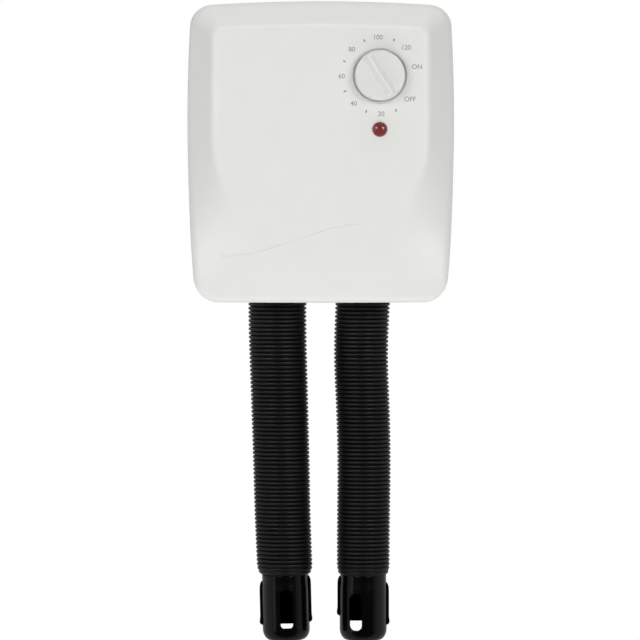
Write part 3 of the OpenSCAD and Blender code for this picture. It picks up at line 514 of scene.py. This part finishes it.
# ---- hoses ----
PLEAT, PLEAT_DEPTH, FILM = 2.9, 1.5, 0.5
PLEAT_PHASES = (0, 0.05, 0.11, 0.18, 0.27, 0.38, 0.5, 0.62, 0.73, 0.82, 0.89, 0.95)
CREST_FALL, GROOVE_POWER = 0.16, 9      # how round the crests are, and how narrow the grooves
HOSE_STEPS = 96
CUFF_R, SPIGOT_GAP_R, NECK_R, NECK_GAP = 17.6, 15.5, 16.2, 0.2
TAIL_R, TAIL_BELOW = 15.6, 0.3          # the hose's last edge, let into the top of the nozzle's neck
# Half width at the housing and at the nozzle, and depth as a share of width. The left hose is a bit flat.
HOSE_SHAPE = {"left": (20.5, 19.6, 0.94), "right": (19.2, 18.6, 1.0)}
# Height over which the pleats fade at the nozzle, and the share of their depth that is left there
END_ROUNDING, LAST_PLEAT = 8.0, 0.2
# The bends that each hose has settled into, as (height, width, shift to the right)
SETTLED = {"left": [(-130, 45, -1.0), (-200, 45, -0.6), (-255, 30, -0.5)],
           "right": [(-142, 34, -1.6), (-222, 34, 0.5)]}
SETTLE_FADE = 14                        # height over which they fade out at both ends
# Half the height about each joint, below which a hose is split into its next stretch, and the lower end of what a
# pull moves apart
BLEND_HALF, PULL_LOW = 21.0, -294.0


def line_x(side, z):
    """Where the straight middle line of a hose is at a height."""
    return HOSE_X if side == "right" else -HOSE_X + (PLEAT_TOP - z) * math.tan(LEFT_LEAN)


def hose_centre(side, z):
    """Where the middle of the hose is at a height, with the bends that it has settled into."""
    shift = sum(s * math.exp(-((z - at) / width) ** 2) for at, width, s in SETTLED[side])
    shift *= smooth((PLEAT_TOP - z) / SETTLE_FADE) * smooth((z - HOSE_END) / SETTLE_FADE)
    return line_x(side, z) + shift


def outer_radius(side, z):
    """Half width of the hose over its crests, which closes in to the neck at the end."""
    start, end, _ = HOSE_SHAPE[side]
    r = start + (end - start) * (PLEAT_TOP - z) / (PLEAT_TOP - HOSE_END)
    t = min(1, max(0, (HOSE_END + END_ROUNDING - z) / END_ROUNDING))
    return r - (r - NECK_R - NECK_GAP) * (1 - math.sqrt(1 - t * t))


def pleat_shape(phase):
    """How far in the surface is at a place in the pleat: 0 on the round crest, 1 in the groove."""
    wave = abs(math.cos(math.pi * phase))
    return CREST_FALL * wave ** 2 + (1 - CREST_FALL) * wave ** GROOVE_POWER


def hose_section(side, z, radius):
    """One ring of a hose."""
    flat = HOSE_SHAPE[side][2] if z < PLEAT_TOP else 1.0
    a = np.linspace(0, 2 * math.pi, HOSE_STEPS, endpoint=False)
    return np.column_stack([hose_centre(side, z) + radius * np.cos(a), SHELL_D + radius * flat * np.sin(a),
                            np.full(HOSE_STEPS, z)])


def pleated(side, name, top, bottom, head=(), tail=()):
    """A stretch of pleated film from a groove at top to a groove at bottom. head and tail are (height, outer
    radius, inner radius) of plain sections above and below it."""
    count = round((top - bottom) / PLEAT)
    phases = [k + phase for k in range(count) for phase in PLEAT_PHASES] + [count]
    outside = [hose_section(side, z, r) for z, r, _ in head]
    inside = [hose_section(side, z, r) for z, _, r in head]
    for phase in phases:
        z = top + (bottom - top) * phase / count
        near_end = min(1, (z - HOSE_END) / END_ROUNDING)
        depth = PLEAT_DEPTH * pleat_shape(phase) * (LAST_PLEAT + (1 - LAST_PLEAT) * near_end)
        r = outer_radius(side, z) - depth
        outside.append(hose_section(side, z, r))
        inside.append(hose_section(side, z, r - FILM))
    outside += [hose_section(side, z, r) for z, r, _ in tail]
    inside += [hose_section(side, z, r) for z, _, r in tail]
    return build(name, *loft(outside + inside[::-1], loop=True), sharp=math.radians(75))


def hoses(side):
    """The three stretches of a hose: from the housing past its bend, past its sway, and to the nozzle."""
    head = [(z, CUFF_R, SPIGOT_GAP_R) for z in (CUFF_TOP, CUFF_TOP - 1, PLEAT_TOP + 1.5)]
    tail = [(HOSE_END - TAIL_BELOW, TAIL_R, TAIL_R - FILM)]
    span = PLEAT_TOP - HOSE_END
    pitch = span / round(span / PLEAT)
    first, second = (PLEAT_TOP - pitch * round((PLEAT_TOP - joint_z + BLEND_HALF) / pitch)
                     for joint_z in (BEND_Z, SWAY_Z))
    upper = pleated(side, side + "_hose_upper", PLEAT_TOP, first, head=head)
    middle = pleated(side, side + "_hose_mid", first, second)
    lower = pleated(side, side + "_hose_lower", second, HOSE_END, tail=tail)
    return upper, middle, lower


# ---- nozzles ----
NOZZLE_R, NOZZLE_SKIN = 16.6, 2.0
PLUG_R, PLUG_WALL, NECK_Z, NECK_SLOPE = 14.6, 2, -302.2, 6
FOOT_REACH, FOOT_RISE = 5.5, 7.9
# Each nozzle's windows: half width, top, bottom, radius of the lower corners, turn about the nozzle's axis
FRONT_WINDOW = {"left": (4.3, -307.6, -334.6, 2.4, 2.7), "right": (4.7, -310.6, -336.2, 4.0, -21)}
REAR_WINDOW = {"left": (9.0, -309.0, -341.8, 1.5, 0), "right": (9.0, -309.0, -341.8, 1.5, 14)}
WINDOW_FROM, WINDOW_FLARE = 8, 0.8      # depth that a window is cut from, and how far its edge opens out
WEB_END = {"left": -333.1, "right": -330.9}
# The web that divides the air: its upright ribs, half thicknesses, and how far it goes into the skin
WEB_RIBS, RIB_HALF_T, WEB_HALF_T, WEB_LET_IN = 14, 1.3, 0.4, 0.6
FIN_R, FIN_HALF_T, FIN_EDGE, FIN_BEVEL = 18.7, 1.6, 0.3, 0.8
# Top and bottom of the left-hand and the right-hand fin
FINS = {"left": ((-302.4, -333.8), (-299.0, -332.4)), "right": ((-299.0, -327.5), (-303.7, -334.0))}


def quarter(r, low, reach, rise, steps=12):
    """A quarter of an ellipse from an upright wall of radius r in to a flat end at height low."""
    return [(r - reach * (1 - math.cos(a)), low + rise * (1 - math.sin(a)))
            for a in np.linspace(0, math.pi / 2, steps + 1)]


def fin(s, top, bottom):
    """The fin on the left (s = -1) or right (s = 1) of a nozzle, with a small step near its lower end."""
    line = [(NOZZLE_R - 1.2, top), (NOZZLE_R + 0.2, top - 0.1), (FIN_R - 0.7, top - 2.6),
            (FIN_R - 0.5, top - 6), (FIN_R - 0.5, bottom + 6), (FIN_R, bottom + 3),
            (FIN_R - 0.3, bottom + 1.2), (NOZZLE_R - 0.2, bottom), (NOZZLE_R - 1.2, bottom)]
    outline = np.array(rounded_profile(line, (0.5, 1.2, 1.5, 1.5, 1.0, 0.6, 0.6), 4))
    rings = []
    for at, inset in ((-1, FIN_EDGE), (-FIN_BEVEL, 0.0), (FIN_BEVEL, 0.0), (1, FIN_EDGE)):
        x = s * (outline[:, 0] - inset * (outline[:, 0] > NOZZLE_R))
        rings.append(np.column_stack([x, np.full(len(x), at * FIN_HALF_T), outline[:, 1]]))
    return loft(rings)


def window(half, top, bottom, corner, turn, s):
    """Cutter for a window with a round top, through the front (s = 1) or the rear (s = -1) of the nozzle."""
    outline = np.vstack([arc(0, top - half, half, 0, 180, 24),
                         arc(corner - half, bottom + corner, corner, 180, 270, 8),
                         arc(half - corner, bottom + corner, corner, 270, 360, 8)])
    middle, reach = np.array([0, (top + bottom) / 2]), np.array([half, (top - bottom) / 2])
    rings = []
    for depth, flare in ((WINDOW_FROM, 0), (NOZZLE_R - 1, 0), (NOZZLE_R, WINDOW_FLARE),
                         (NOZZLE_R + 6, WINDOW_FLARE)):
        rings.append(at_depth((outline - middle) * (1 + flare / reach) + middle, s * depth))
    points, faces = loft(rings)
    x, depth = points[:, 0].copy(), points[:, 1].copy()
    cos, sin = math.cos(math.radians(turn)), math.sin(math.radians(turn))
    points[:, 0], points[:, 1] = x * cos + depth * sin, depth * cos - x * sin
    return points, faces


def web(reach, end):
    """The ribbed web across the inside of a nozzle, from its neck down to a height."""
    x = np.linspace(-reach, reach, 2 * WEB_RIBS + 1)
    half = np.where(np.arange(len(x)) % 2, RIB_HALF_T, WEB_HALF_T)
    outline = np.vstack([np.column_stack([x, -half]), np.column_stack([x, half])[::-1]])
    return loft([np.column_stack([outline, np.full(len(outline), z)]) for z in (NECK_Z + 1, end)])


def nozzle_skin():
    """The hollow body of a nozzle, open at the top of its plug, as (points, faces)."""
    inner_r, floor = NOZZLE_R - NOZZLE_SKIN, NOZZLE_END + NOZZLE_SKIN
    neck = [(PLUG_R - PLUG_WALL, PLUG_TOP), (PLUG_R, PLUG_TOP), (PLUG_R, HOSE_END), (NECK_R, HOSE_END),
            (NECK_R, NECK_Z), (NOZZLE_R, NECK_Z - NECK_SLOPE), (NOZZLE_R, NECK_Z - NECK_SLOPE - 2)]
    profile = rounded_profile(neck, (0.3, 0, 0.3, 1.5, 1.5))
    profile += quarter(NOZZLE_R, NOZZLE_END, FOOT_REACH, FOOT_RISE) + [(0.1, NOZZLE_END), (0.1, floor)]
    profile += quarter(inner_r, floor, FOOT_REACH - 1, FOOT_RISE - 1.4)[::-1]
    profile += [(inner_r, NECK_Z - 0.5), (PLUG_R - PLUG_WALL, NECK_Z + 1)]
    return lathe(profile, 128, "up", loop=True)


def nozzle(side):
    """A nozzle with its fins, web and windows, at the end of its hose."""
    obj = build(side + "_nozzle_tip", *nozzle_skin())
    fins = [fin(s, *ends) for s, ends in zip((-1, 1), FINS[side])]
    combine(obj, fins + [web(NOZZLE_R - NOZZLE_SKIN + WEB_LET_IN, WEB_END[side])], "UNION")
    combine(obj, [window(*FRONT_WINDOW[side], 1), window(*REAR_WINDOW[side], -1)], "DIFFERENCE")
    hang(obj, side)
    return obj


def hang(obj, side):
    """Puts a piece that is drawn about the vertical axis onto the end of its hose. Depth is -Y."""
    lean = Matrix.Rotation(-LEFT_LEAN if side == "left" else 0, 4, "Y")
    pivot = Vector((0, 0, PLEAT_TOP * MM))
    place = Matrix.Translation((line_x(side, PLEAT_TOP) * MM, -SHELL_D * MM, 0))
    obj.data.transform(place @ Matrix.Translation(pivot) @ lean @ Matrix.Translation(-pivot))


# ---- materials ----
def noise(material, size, detail):
    """A noise texture over the piece's own coordinates. size is that of its grain in millimetres."""
    tree = material.node_tree
    coordinates = tree.nodes.new("ShaderNodeTexCoord")
    texture = tree.nodes.new("ShaderNodeTexNoise")
    texture.inputs["Scale"].default_value = 1 / (size * MM)
    texture.inputs["Detail"].default_value = detail
    tree.links.new(coordinates.outputs["Object"], texture.inputs["Vector"])
    return texture


NOISE_LOW, NOISE_HIGH = 0.3, 0.7        # the range that a noise texture mostly keeps to


def finish_of(name, color, roughness, metallic=0.0, grain=0.5, grain_depth=0.01, tone=0.06, blotch=14.0,
              rough_span=0.1, **sockets):
    """A procedural finish: broad changes of tone, and a fine grain of gloss and relief."""
    material = bpy.data.materials.new(name)
    material.use_nodes = True
    tree = material.node_tree
    shader = tree.nodes["Principled BSDF"]
    shader.inputs["Metallic"].default_value = metallic
    for socket, value in sockets.items():
        shader.inputs[socket.replace("_", " ")].default_value = value

    broad = noise(material, blotch, detail=3.0)
    ramp = tree.nodes.new("ShaderNodeValToRGB")
    darker, lighter = ramp.color_ramp.elements
    darker.position, lighter.position = NOISE_LOW, NOISE_HIGH
    darker.color = [c * (1 - tone) for c in color] + [1]
    lighter.color = [min(1, c * (1 + tone)) for c in color] + [1]
    tree.links.new(broad.outputs["Fac"], ramp.inputs["Fac"])
    tree.links.new(ramp.outputs["Color"], shader.inputs["Base Color"])

    fine = noise(material, grain, detail=2.0)
    gloss = tree.nodes.new("ShaderNodeMapRange")
    gloss.inputs["From Min"].default_value, gloss.inputs["From Max"].default_value = NOISE_LOW, NOISE_HIGH
    gloss.inputs["To Min"].default_value = roughness - rough_span / 2
    gloss.inputs["To Max"].default_value = roughness + rough_span / 2
    tree.links.new(fine.outputs["Fac"], gloss.inputs["Value"])
    tree.links.new(gloss.outputs["Result"], shader.inputs["Roughness"])

    bump = tree.nodes.new("ShaderNodeBump")
    bump.inputs["Strength"].default_value = 0.5
    bump.inputs["Distance"].default_value = grain_depth * MM
    tree.links.new(fine.outputs["Fac"], bump.inputs["Height"])
    tree.links.new(bump.outputs["Normal"], shader.inputs["Normal"])
    return material


FINISHES = {
    "white_plastic": dict(color=(0.80, 0.805, 0.775), roughness=0.42, grain=0.45, grain_depth=0.012,
                          tone=0.008),
    "knob_plastic": dict(color=(0.765, 0.77, 0.74), roughness=0.34, grain=0.4, grain_depth=0.006,
                         tone=0.008),
    "black_plastic": dict(color=(0.0006, 0.0006, 0.0006), roughness=0.2, grain=0.35, grain_depth=0.003,
                          tone=0.15, rough_span=0.05, Specular_IOR_Level=0.3),
    "hose_plastic": dict(color=(0.0035, 0.0035, 0.0037), roughness=0.40, grain=0.6, grain_depth=0.02,
                         tone=0.2, Specular_IOR_Level=0.33),
    "red_lens": dict(color=(0.30, 0.05, 0.046), roughness=0.15, grain=0.8, grain_depth=0.004, tone=0.1,
                     rough_span=0.04, Transmission_Weight=0.35, IOR=1.49, Coat_Weight=0.5,
                     Coat_Roughness=0.1),
    "dial_ink": dict(color=(0.30, 0.305, 0.30), roughness=0.5, grain=0.2, grain_depth=0.004, tone=0.1),
    "screw_steel": dict(color=(0.62, 0.62, 0.61), roughness=0.3, metallic=1.0, grain=0.3, tone=0.08),
    "grommet_rubber": dict(color=(0.02, 0.02, 0.021), roughness=0.7, grain=0.3, grain_depth=0.02, tone=0.15),
    "terminal_plastic": dict(color=(0.72, 0.70, 0.62), roughness=0.35, grain=0.5, tone=0.03),
    "wire_insulation": dict(color=(0.02, 0.06, 0.32), roughness=0.35, grain=0.4, tone=0.1),
    "timer_plastic": dict(color=(0.70, 0.68, 0.60), roughness=0.45, grain=0.5, tone=0.04),
    "spring_steel": dict(color=(0.30, 0.33, 0.40), roughness=0.28, metallic=1.0, grain=0.2, tone=0.15),
    "brass_parts": dict(color=(0.78, 0.58, 0.28), roughness=0.25, metallic=1.0, grain=0.3, tone=0.08),
    "bright_steel": dict(color=(0.72, 0.72, 0.72), roughness=0.16, metallic=1.0, grain=0.15, tone=0.05),
    "inner_plastic": dict(color=(0.09, 0.09, 0.095), roughness=0.5, grain=0.5, grain_depth=0.015, tone=0.1),
    "bulb_glass": dict(color=(0.95, 0.75, 0.60), roughness=0.06, grain=1.0, grain_depth=0.001, tone=0.02,
                       rough_span=0.02, Transmission_Weight=0.9, IOR=1.5),
    "lamination_steel": dict(color=(0.28, 0.29, 0.31), roughness=0.42, metallic=1.0, grain=0.35, tone=0.2),
    "copper_wire": dict(color=(0.62, 0.26, 0.12), roughness=0.3, metallic=1.0, grain=0.3, grain_depth=0.03,
                        tone=0.15),
    "bracket_steel": dict(color=(0.58, 0.59, 0.60), roughness=0.34, metallic=1.0, grain=0.6, tone=0.1),
    "heater_frame": dict(color=(0.74, 0.70, 0.60), roughness=0.55, grain=0.6, tone=0.05),
    "heater_ceramic": dict(color=(0.33, 0.32, 0.31), roughness=0.8, grain=0.3, grain_depth=0.03, tone=0.15),
    "heater_fins": dict(color=(0.74, 0.74, 0.75), roughness=0.3, metallic=1.0, grain=0.5, tone=0.06),
}
materials = {slot: finish_of(slot, **values) for slot, values in FINISHES.items()}


def finished(obj, slot, body=None, replaces=()):
    """Gives a piece its finish, its slot and its body, and hides the CAD nodes it stands for."""
    obj.data.materials.clear()
    obj.data.materials.append(materials[slot])
    if body:
        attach(obj, body)
    if replaces:
        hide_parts(*replaces)
    return obj


# ---- camera, light and stage, with places in metres ----
CAMERA_AT, CAMERA_AIM = (-0.0005, -2.30, -0.0265), (-0.0005, -0.08, -0.1172)
FOCAL_LENGTH, SENSOR_W, VIEW_END = 180, 36, 50      # the first two are in millimetres
WHITE = (1, 1, 1, 1)
SURROUND = 0.48     # strength of the white surround on the object; the camera sees it as plain white
DARK_ROOM = 0.04    # its strength straight in front, where the studio is open
DARK_TO, WHITE_FROM = -0.6, -0.28   # y of a direction where the dark ends, and where the full white starts
LIGHTS_AIM = Vector((0, -0.05, -0.1))
# Each light's place, width, height and power, and whether glossy parts mirror it
LIGHTS = {
    "left_key": ((-1.1, -1.9, 0.5), 0.8, 0.8, 12.9, True),
    "right_key": ((1.1, -1.9, 0.5), 0.8, 0.8, 14.8, True),
    "low_light": ((-0.15, -2.1, -1.0), 1.2, 0.6, 6.4, False),
    "top_light": ((0.0, -0.3, 1.7), 1.2, 0.8, 8.7, True),
    "left_light": ((-1.3, -0.9, 0.0), 0.25, 1.4, 1.1, True),
    "right_light": ((1.3, -0.9, 0.0), 0.25, 1.4, 0.3, True),
}
# The floor's sizes are in millimetres
FLOOR_Z, FLOOR_R, FLOOR_BEVEL, FLOOR_T, FLOOR_GLOW = -520.0, 1000.0, 15, 40, 0.53


def look_at(obj, target):
    """Turns a camera or a light to face a place."""
    obj.rotation_euler = (target - obj.location).to_track_quat("-Z", "Y").to_euler()


def add_camera():
    """A long lens far in front, at the height that gives the straight front view."""
    camera = bpy.data.objects.new("camera", bpy.data.cameras.new("camera"))
    camera.data.lens, camera.data.sensor_width, camera.data.clip_end = FOCAL_LENGTH, SENSOR_W, VIEW_END
    camera.location = CAMERA_AT
    look_at(camera, Vector(CAMERA_AIM))
    scene.collection.objects.link(camera)
    scene.camera = camera


def add_surround():
    """A white world that is dark in front of the object. The camera sees it as plain white all round."""
    world = bpy.data.worlds.new("studio")
    world.use_nodes = True
    tree = world.node_tree
    surround, behind = tree.nodes["Background"], tree.nodes.new("ShaderNodeBackground")
    surround.inputs["Color"].default_value = behind.inputs["Color"].default_value = WHITE
    direction, axes = tree.nodes.new("ShaderNodeTexCoord"), tree.nodes.new("ShaderNodeSeparateXYZ")
    strength = tree.nodes.new("ShaderNodeMapRange")
    strength.interpolation_type = "SMOOTHSTEP"
    for socket, value in {"From Min": DARK_TO, "From Max": WHITE_FROM, "To Min": DARK_ROOM,
                          "To Max": SURROUND}.items():
        strength.inputs[socket].default_value = value
    tree.links.new(direction.outputs["Generated"], axes.inputs["Vector"])
    tree.links.new(axes.outputs["Y"], strength.inputs["Value"])
    tree.links.new(strength.outputs["Result"], surround.inputs["Strength"])
    rays, mix = tree.nodes.new("ShaderNodeLightPath"), tree.nodes.new("ShaderNodeMixShader")
    tree.links.new(rays.outputs["Is Camera Ray"], mix.inputs["Fac"])
    tree.links.new(surround.outputs["Background"], mix.inputs[1])
    tree.links.new(behind.outputs["Background"], mix.inputs[2])
    tree.links.new(mix.outputs["Shader"], tree.nodes["World Output"].inputs["Surface"])
    scene.world = world
    scene.view_settings.view_transform = "Standard"


def add_lights():
    """Soft rectangular lights, all aimed at the middle of the object."""
    for name, (place, width, height, power, mirrored) in LIGHTS.items():
        light = bpy.data.lights.new(name, "AREA")
        light.shape, light.size, light.size_y, light.energy = "RECTANGLE", width, height, power
        lamp = bpy.data.objects.new(name, light)
        lamp.location = place
        lamp.visible_glossy = mirrored
        look_at(lamp, LIGHTS_AIM)
        scene.collection.objects.link(lamp)


def add_floor():
    """A round pale floor with a bevelled edge, which the glossy black parts don't mirror."""
    disc = [(60, FLOOR_Z), (400, FLOOR_Z), (800, FLOOR_Z), (FLOOR_R, FLOOR_Z),
            (FLOOR_R + FLOOR_BEVEL, FLOOR_Z - 6), (FLOOR_R + FLOOR_BEVEL, FLOOR_Z - FLOOR_T)]
    floor = build("floor", *lathe(disc, 96, "up"))
    finish = finish_of("floor_finish", (0.9, 0.9, 0.9), 0.6, grain=3, grain_depth=0.02, tone=0.01,
                       Emission_Color=WHITE, Emission_Strength=FLOOR_GLOW)
    floor.data.materials.append(finish)
    floor.visible_glossy = False


# ---- assembly ----
add_camera()
add_surround()
add_lights()
add_floor()
finished(front_shell(), "white_plastic", "housing", ["front_cover"])
finished(back_shell(), "white_plastic", "housing", ["back_shell"])
finished(timer_knob(), "knob_plastic", "timer_dial", ["timer_knob"])
finished(dial_print(), "dial_ink", "housing")
finished(lamp_lens(), "red_lens", "housing", ["lamp_lens"])


STRETCHES = [(BEND_Z + BLEND_HALF, BEND_Z - BLEND_HALF), (SWAY_Z + BLEND_HALF, SWAY_Z - BLEND_HALF),
             (SWAY_Z - BLEND_HALF, PULL_LOW)]
for side in ("left", "right"):
    bodies = ["housing", side + "_bend_part", side + "_sway_part", side + "_end_part"]
    replaced = [[side + "_hose_top", side + "_hose_bend"], [side + "_hose_middle"], [side + "_hose_end"]]
    for piece, over, (a, b), (top, bottom) in zip(hoses(side), replaced, zip(bodies, bodies[1:]), STRETCHES):
        finished(piece, "hose_plastic", replaces=over)
        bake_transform(piece)
    finished(nozzle(side), "black_plastic", side + "_end_part", [side + "_nozzle"])

slot_of = {row["node"]: row["material_slot"] for row in frame["record"]["subparts"]}
for name, node in frame["nodes"].items():
    if not node.hide_render:
        node.data.materials.clear()
        node.data.materials.append(materials[slot_of[name]])
